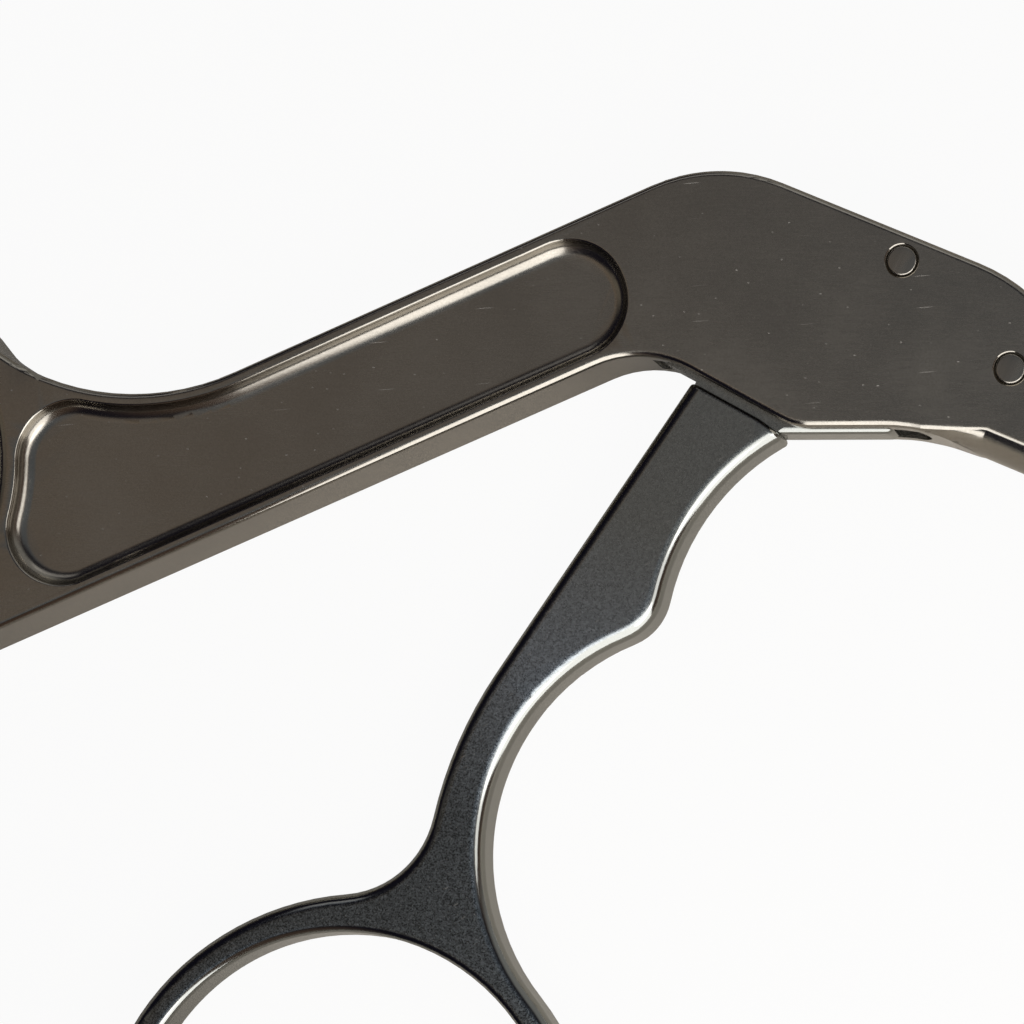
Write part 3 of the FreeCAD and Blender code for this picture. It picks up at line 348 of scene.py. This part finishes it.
def tumbled_lever_steel(finishes):
    """Cast stainless steel lever, tumbled with stones, its flat sides darker towards the ring.

    The eye sees a speckled surface of small dents, neutral grey near the pivot and a darker blue
    grey towards the ring, with smooth bright edges.
    """
    material, tree, out = new_material("Tumbled_stainless_steel")
    size = finishes.speckle_size / MM
    coarse = add_node(tree, "ShaderNodeTexNoise", None, {"Vector": in_millimetres(tree)},
                      Scale=1 / size, Detail=4.0, Roughness=0.65)
    # The finest dents are about 0.05 mm, drawn coarser so that they show
    fine = add_node(tree, "ShaderNodeTexNoise", None, {"Vector": in_millimetres(tree)},
                    Scale=1 / FINE_DENT_SIZE, Detail=2.0, Roughness=0.5)
    place = add_node(tree, "ShaderNodeSeparateXYZ", None, {"Vector": in_millimetres(tree)})
    flat = lying(tree, FLAT_SIDES)
    cool = calculate(tree, "MULTIPLY", grey_range(tree, place.outputs["Y"], 1, 0, *COOL_HEIGHTS), flat)
    # The flat sides turn darker and bluer further towards the ring
    darker_part = calculate(tree, "MULTIPLY", grey_range(tree, place.outputs["Y"], 1, 0, *DARKER_HEIGHTS), flat)
    base = blend_colour(tree, darker_part, blend_colour(tree, cool, finishes.lever_colour,
                                                 finishes.lever_middle_colour),
                        finishes.lever_dark_colour)
    speckle = calculate(tree, "ADD", calculate(tree, "MULTIPLY", coarse.outputs["Fac"], COARSE_SHARE),
                        calculate(tree, "MULTIPLY", fine.outputs["Fac"], 1 - COARSE_SHARE))
    # Dents are deeper and closer in the darkened part
    depth = calculate(tree, "ADD", grey_range(tree, flat, *DENT_TONE),
                      calculate(tree, "MULTIPLY", calculate(tree, "ADD", cool, darker_part), DARKER_DENT_TONE))
    spread = calculate(tree, "MULTIPLY", grey_range(tree, speckle, -1, 1, *DENT_RANGE), depth)
    steel = add_node(tree, "ShaderNodeMix", {"data_type": "RGBA", "blend_type": "MULTIPLY",
                                             "clamp_result": False})
    steel.inputs[0].default_value = 1.0
    tree.links.new(base, steel.inputs[6])
    tree.links.new(calculate(tree, "ADD", spread, 1.0), steel.inputs[7])
    dashes = scratches(tree, PHOTO_TURN + 30, length=0.5, width=0.05, share=0.14, seed=3)
    dashes = calculate(tree, "MULTIPLY", dashes, flat)
    # Painted glints: light specks on the rims of single dents, where the lever turns cooler
    rim_glints = scratches(tree, 0, length=0.09, width=0.05, share=0.5, seed=8)
    rim_glints = calculate(tree, "MULTIPLY", rim_glints, cool)
    dashes = calculate(tree, "MAXIMUM", dashes, rim_glints)
    # Scratches and dent rims are tinted light: painted glints
    colour = blend_colour(tree, calculate(tree, "MULTIPLY", dashes, DENT_RIM_GLINT_SHARE), steel.outputs[2],
                          linear(DENT_RIM_GLINT_COLOUR))
    tumbled = grey_range(tree, speckle, *TUMBLED_ROUGHNESS, *TUMBLED_RANGE)
    tumbled = calculate(tree, "MULTIPLY", tumbled, flat)
    rough = calculate(tree, "ADD", tumbled, grey_range(tree, flat, EDGE_ROUGHNESS, 0))
    bump = add_node(tree, "ShaderNodeBump", None, {"Height": speckle}, Strength=0.3, Distance=0.006 * MM)
    shader = add_node(tree, "ShaderNodeBsdfPrincipled", None,
                      {"Base Color": colour, "Roughness": rough, "Normal": bump.outputs[0]}, Metallic=1.0)
    tree.links.new(shader.outputs[0], out.inputs["Surface"])
    return material


# Share by which the rings of a lathe change the tone
RING_TONE = 0.06


def turned_steel(name, colour, roughness, spread, line_spacing):
    """Stainless steel turned or ground on a lathe: thin rings round the part's own axis, which
    give a soft streak of light along it. line_spacing is in millimetres along X."""
    material, tree, out = new_material(name)
    rings = add_node(tree, "ShaderNodeTexNoise", None,
                     {"Vector": in_millimetres(tree, 0, (line_spacing, 6, 6))},
                     Scale=1.0, Detail=2.0, Roughness=0.6)
    tone = vary(tree, rings, 1 - RING_TONE, 1 + RING_TONE)
    steel = add_node(tree, "ShaderNodeMix", {"data_type": "RGBA", "blend_type": "MULTIPLY"})
    steel.inputs[0].default_value = 1.0
    steel.inputs[6].default_value = tuple(colour)
    tree.links.new(tone, steel.inputs[7])
    rough = vary(tree, rings, roughness - spread, roughness + spread)
    bump = add_node(tree, "ShaderNodeBump", None, {"Height": rings.outputs["Fac"]},
                    Strength=0.15, Distance=0.003 * MM)
    shader = add_node(tree, "ShaderNodeBsdfPrincipled", None,
                      {"Base Color": steel.outputs[2], "Roughness": rough, "Normal": bump.outputs[0]},
                      Metallic=1.0)
    tree.links.new(shader.outputs[0], out.inputs["Surface"])
    return material


def smooth_copy(node_name, material, edge_angle):
    """Merged copy of a CAD node with smooth rounded edges, flat faces kept flat, in one material."""
    source = frame["nodes"][node_name]
    mesh = bpy.data.meshes.new(node_name + "_dressed")
    work = bmesh.new()
    work.from_mesh(source.data)
    bmesh.ops.remove_doubles(work, verts=work.verts, dist=0.0005 * MM)
    for face in work.faces:
        face.smooth = True
        face.material_index = 0
    for edge in work.edges:
        edge.smooth = len(edge.link_faces) == 2 and edge.calc_face_angle(math.pi) < edge_angle
    work.to_mesh(mesh)
    work.free()
    piece = bpy.data.objects.new(node_name + "_dressed", mesh)
    bpy.context.scene.collection.objects.link(piece)
    mesh.materials.append(material)
    weigh = piece.modifiers.new("flat faces stay flat", "WEIGHTED_NORMAL")
    weigh.keep_sharp = True
    weigh.weight = 100
    bpy.context.view_layer.update()
    baked = bpy.data.meshes.new_from_object(piece.evaluated_get(bpy.context.evaluated_depsgraph_get()))
    piece.modifiers.clear()
    piece.data = baked
    baked.name = node_name + "_dressed"
    return piece


def dress(node_name, material, edge_angle):
    """Puts a smooth copy in the place of a CAD node, on the same body."""
    body = next(b for b, names in frame["record"]["behaviour"]["bodies"].items() if node_name in names)
    piece = smooth_copy(node_name, material, edge_angle)
    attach(piece, body)
    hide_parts(node_name)
    return piece


class SCISSORS_OT_handle(bpy.types.Operator):
    """Brushed plate handle with its thumb ring"""
    bl_idname = "scissors.handle"
    bl_label = "Handle"

    def execute(self, context):
        finishes = context.scene.scissors_finishes
        dress("fixed_handle", satin_handle_steel(finishes), finishes.edge_angle)
        return {"FINISHED"}


class SCISSORS_OT_lever(bpy.types.Operator):
    """Tumbled finger lever with its ring"""
    bl_idname = "scissors.lever"
    bl_label = "Lever"

    def execute(self, context):
        finishes = context.scene.scissors_finishes
        dress("finger_lever", tumbled_lever_steel(finishes), finishes.edge_angle)
        return {"FINISHED"}


class SCISSORS_OT_pins(bpy.types.Operator):
    """Ground cross pins of the head, the drive and the jaws"""
    bl_idname = "scissors.pins"
    bl_label = "Pins"

    def execute(self, context):
        finishes = context.scene.scissors_finishes
        ground = turned_steel("Ground_stainless_steel_pins", finishes.satin_colour, 0.24, 0.04, 0.5)
        for name in ("lever_pivot_pin", "shaft_lock_pin", "drive_block_pin", "lever_drive_pin",
                     "rod_tip_pin", "blade_drive_pin", "blade_pivot_pin", "near_jaw_pin", "far_jaw_pin"):
            dress(name, ground, finishes.edge_angle)
        return {"FINISHED"}


class SCISSORS_OT_shaft(bpy.types.Operator):
    """Collar, outer tube, brass bushes and inner rod"""
    bl_idname = "scissors.shaft"
    bl_label = "Shaft"

    def execute(self, context):
        finishes = context.scene.scissors_finishes
        # Drawn tube, fine polished round its axis: the eye sees a clear bright streak with faint rings
        tube = turned_steel("Fine_polished_stainless_tube", finishes.bright_colour, 0.2, 0.04, 0.12)
        bush = turned_steel("Turned_brass", finishes.brass_colour, 0.25, 0.05, 0.1)
        for name in ("shaft_collar", "outer_tube", "drive_rod", "drive_block", "rod_tip"):
            dress(name, tube, finishes.edge_angle)
        for name in ("rear_rod_bush", "front_rod_bush"):
            dress(name, bush, finishes.edge_angle)
        return {"FINISHED"}


class SCISSORS_OT_blades(bpy.types.Operator):
    """Fixed and moving hooked blades"""
    bl_idname = "scissors.blades"
    bl_label = "Blades"

    def execute(self, context):
        finishes = context.scene.scissors_finishes
        # Hardened stainless blades, ground across: the eye sees a soft, slightly duller streak
        blade = turned_steel("Ground_hardened_stainless_blades", finishes.bright_colour, 0.26, 0.05, 0.3)
        for name in ("fixed_blade", "moving_blade"):
            dress(name, blade, finishes.edge_angle)
        return {"FINISHED"}


# Shares of plain white that the camera and the steel see in the table; the rest is the lit matt surface
CAMERA_SHARE = 0.95
MIRRORED_SHARE = 0.06


def table_top(stage):
    """Matt pale table under the scissors, white to the camera and in the steel, with a soft shadow."""
    half = stage.floor_size / 2
    mesh = bpy.data.meshes.new("Table_top")
    corners = [(-half, -half, FLOOR_Z), (half, -half, FLOOR_Z), (half, half, FLOOR_Z), (-half, half, FLOOR_Z)]
    mesh.from_pydata(corners, [], [(0, 1, 2, 3)])
    floor = bpy.data.objects.new("Table_top", mesh)
    bpy.context.scene.collection.objects.link(floor)
    material, tree, out = new_material("Matt_white_table")
    path = add_node(tree, "ShaderNodeLightPath")
    mirrored = calculate(tree, "MAXIMUM", path.outputs["Is Glossy Ray"],
                         path.outputs["Is Transmission Ray"])
    matt = add_node(tree, "ShaderNodeBsdfDiffuse", None, None, Color=tuple(stage.floor_colour))
    white = add_node(tree, "ShaderNodeEmission", None, None, Color=(1, 1, 1, 1), Strength=1.0)
    # Part of what is seen is the lit matt surface, so the shadow of the scissors stays
    share = calculate(tree, "MAXIMUM",
                      calculate(tree, "MULTIPLY", path.outputs["Is Camera Ray"], CAMERA_SHARE),
                      calculate(tree, "MULTIPLY", mirrored, MIRRORED_SHARE))
    mix = add_node(tree, "ShaderNodeMixShader", None, {0: share, 1: matt.outputs[0], 2: white.outputs[0]})
    tree.links.new(mix.outputs[0], out.inputs["Surface"])
    mesh.materials.append(material)
    return floor


# Directions of the room's parts, and the values between which each part blends in, from -1 to 1
RIGHT_SIDE = DOWN * 0.6 + RIGHT * 0.8
BACK_SIDE = RIGHT * 0.5 - DOWN * 0.866
RIGHT_SIDE_EDGE = (0.15, 0.5)
BACK_SIDE_EDGE = (0.62, 0.82)
LOW_WALL_EDGE = (0.03, 0.16)
FAR_CEILING_EDGE = (-0.4, -0.1)
CEILING_EDGE = (0.79, 0.88)
CEILING_BACK_EDGE = (-0.42, -0.26)
PATCH_SIDE_EDGE = (0.15, 0.3)
PATCH_LOW_EDGE = (0.3, 0.5)
PATCH_BACK_EDGE = (-0.3, -0.1)
PATCH_FRONT_EDGE = (0.1, 0.3)
WHITE_EDGE = (0.08, 0.16)


def toward(tree, ray, direction):
    """How far a ray of the room points along a direction, from -1 to 1."""
    node = add_node(tree, "ShaderNodeVectorMath", {"operation": "DOT_PRODUCT"}, {0: ray})
    node.inputs[1].default_value = direction
    return node.outputs["Value"]


def room_light(stage):
    """Room: pale at the level of the table, dark at the sides, and a dim grey ceiling."""
    world = bpy.data.worlds.new("Plain_room")
    world.use_nodes = True
    tree = world.node_tree
    tree.nodes.clear()
    ray = add_node(tree, "ShaderNodeTexCoord").outputs["Generated"]
    high = add_node(tree, "ShaderNodeSeparateXYZ", None, {"Vector": ray}).outputs["Z"]
    turn = grey_range(tree, toward(tree, ray, RIGHT_SIDE), 0, 1, *RIGHT_SIDE_EDGE)
    beyond = grey_range(tree, toward(tree, ray, BACK_SIDE), 0, 1, *BACK_SIDE_EDGE)
    sides = blend_colour(tree, turn, stage.left_colour, stage.right_colour)
    low_sides = blend_colour(tree, turn, stage.low_left_colour, stage.low_right_colour)
    walls = blend_colour(tree, grey_range(tree, high, 0, 1, *LOW_WALL_EDGE), low_sides, sides)
    walls = blend_colour(tree, beyond, walls, stage.back_colour)
    # A paler patch high on the left, which the left edge of the lever mirrors beside its dark line
    forward = toward(tree, ray, DOWN)
    patch = calculate(tree, "MULTIPLY",
                      grey_range(tree, toward(tree, ray, -RIGHT), 0, 1, *PATCH_SIDE_EDGE),
                      grey_range(tree, high, 0, 1, *PATCH_LOW_EDGE))
    patch = calculate(tree, "MULTIPLY", patch, grey_range(tree, forward, 0, 1, *PATCH_BACK_EDGE))
    patch = calculate(tree, "MULTIPLY", patch, grey_range(tree, forward, 1, 0, *PATCH_FRONT_EDGE))
    walls = blend_colour(tree, patch, walls, stage.left_high_colour)
    ceiling = blend_colour(tree, grey_range(tree, toward(tree, ray, RIGHT), 0, 1, *FAR_CEILING_EDGE),
                           stage.far_ceiling_colour, stage.ceiling_colour)
    lit = calculate(tree, "MULTIPLY", grey_range(tree, high, 0, 1, *CEILING_EDGE),
                    grey_range(tree, forward, 0, 1, *CEILING_BACK_EDGE))
    room = blend_colour(tree, lit, walls, ceiling)
    # The camera sees plain white beyond the table
    seen = calculate(tree, "MULTIPLY", add_node(tree, "ShaderNodeLightPath").outputs["Is Camera Ray"],
                     grey_range(tree, high, 1, 0, *WHITE_EDGE))
    room = blend_colour(tree, seen, room, (1, 1, 1, 1))
    back = add_node(tree, "ShaderNodeBackground", None, {"Color": room}, Strength=1.0)
    out = add_node(tree, "ShaderNodeOutputWorld")
    tree.links.new(back.outputs[0], out.inputs["Surface"])
    bpy.context.scene.world = world


# Places of the lamps, in metres along RIGHT, DOWN and up from the middle of the picture, and sizes
SIDE_LAMP_PLACE = (0.62, 0.25, 0.6)
SIDE_LAMP_SIZE = (0.9, 0.36)
BACK_LAMP_PLACE = (-0.1, -0.7, 0.55)
BACK_LAMP_SIZE = (0.7, 0.3)
PANEL_PLACE = (0.058, 0.056, 0.055)
PANEL_FACING = (0, -0.0566, -0.02)
PANEL_SIZE = (0.12, 0.117)


def beside(point, steps):
    """Point at some steps along RIGHT, DOWN and up from another."""
    return point + RIGHT * steps[0] + DOWN * steps[1] + Vector((0, 0, steps[2]))


def soft_lamp(name, place, aim, size, power):
    """Rectangular soft lamp that points at a place."""
    lamp = bpy.data.lights.new(name, "AREA")
    lamp.shape = "RECTANGLE"
    lamp.size, lamp.size_y = size
    lamp.energy = power
    holder = bpy.data.objects.new(name, lamp)
    holder.location = place
    holder.rotation_euler = (aim - place).to_track_quat("-Z", "Y").to_euler()
    # A view from another side may look through a lamp's place
    holder.visible_camera = False
    bpy.context.scene.collection.objects.link(holder)
    return holder


class SCISSORS_OT_stage(bpy.types.Operator):
    """Table, room, lamps and camera"""
    bl_idname = "scissors.stage"
    bl_label = "Stage"

    def execute(self, context):
        stage = context.scene.scissors_stage
        table_top(stage)
        room_light(stage)
        middle = Vector(stage.camera_aim)
        soft_lamp("Right_soft_lamp", beside(middle, SIDE_LAMP_PLACE), middle,
                  SIDE_LAMP_SIZE, stage.side_power)
        soft_lamp("Back_soft_lamp", beside(middle, BACK_LAMP_PLACE), middle,
                  BACK_LAMP_SIZE, stage.back_power)
        # Bright panel close in front of the head, its top leaning towards it; the camera looks past it
        panel = beside(middle, PANEL_PLACE)
        soft_lamp("Front_leaning_panel", panel, beside(panel, PANEL_FACING),
                  PANEL_SIZE, stage.front_power)
        place = Vector(stage.camera_place)
        backward = (place - middle).normalized()
        across = (RIGHT - backward * RIGHT.dot(backward)).normalized()
        upright = backward.cross(across)
        turn = Matrix((across, upright, backward)).transposed().to_4x4()
        lens = bpy.data.cameras.new("Photo_camera")
        lens.sensor_width = 36
        lens.lens = stage.lens
        lens.clip_start = 0.01
        lens.clip_end = 20
        camera = bpy.data.objects.new("Photo_camera", lens)
        camera.matrix_world = Matrix.Translation(place) @ turn
        context.scene.collection.objects.link(camera)
        context.scene.camera = camera
        context.scene.view_settings.view_transform = "Standard"
        return {"FINISHED"}


class SCISSORS_PT_panel(bpy.types.Panel):
    """Lists the pieces of the scissors and their sizes and colours"""
    bl_idname = "SCISSORS_PT_panel"
    bl_label = "Hook Scissors"
    bl_space_type = "VIEW_3D"
    bl_region_type = "UI"
    bl_category = "Scissors"

    def draw(self, context):
        column = self.layout.column()
        for group in (context.scene.scissors_finishes, context.scene.scissors_stage):
            for name in group.bl_rna.properties.keys():
                if name not in ("rna_type", "name"):
                    column.prop(group, name)
        for operator in OPERATORS:
            column.operator(operator.bl_idname)


OPERATORS = (SCISSORS_OT_stage, SCISSORS_OT_handle, SCISSORS_OT_lever, SCISSORS_OT_pins,
             SCISSORS_OT_shaft, SCISSORS_OT_blades)
CLASSES = (ScissorsFinishes, ScissorsStage) + OPERATORS + (SCISSORS_PT_panel,)


def register():
    for one in CLASSES:
        bpy.utils.register_class(one)
    bpy.types.Scene.scissors_finishes = PointerProperty(type=ScissorsFinishes)
    bpy.types.Scene.scissors_stage = PointerProperty(type=ScissorsStage)


def unregister():
    del bpy.types.Scene.scissors_stage
    del bpy.types.Scene.scissors_finishes
    for one in reversed(CLASSES):
        bpy.utils.unregister_class(one)


def main():
    register()
    bpy.ops.scissors.stage()
    bpy.ops.scissors.handle()
    bpy.ops.scissors.lever()
    bpy.ops.scissors.pins()
    bpy.ops.scissors.shaft()
    bpy.ops.scissors.blades()


if __name__ == "__main__":
    main()
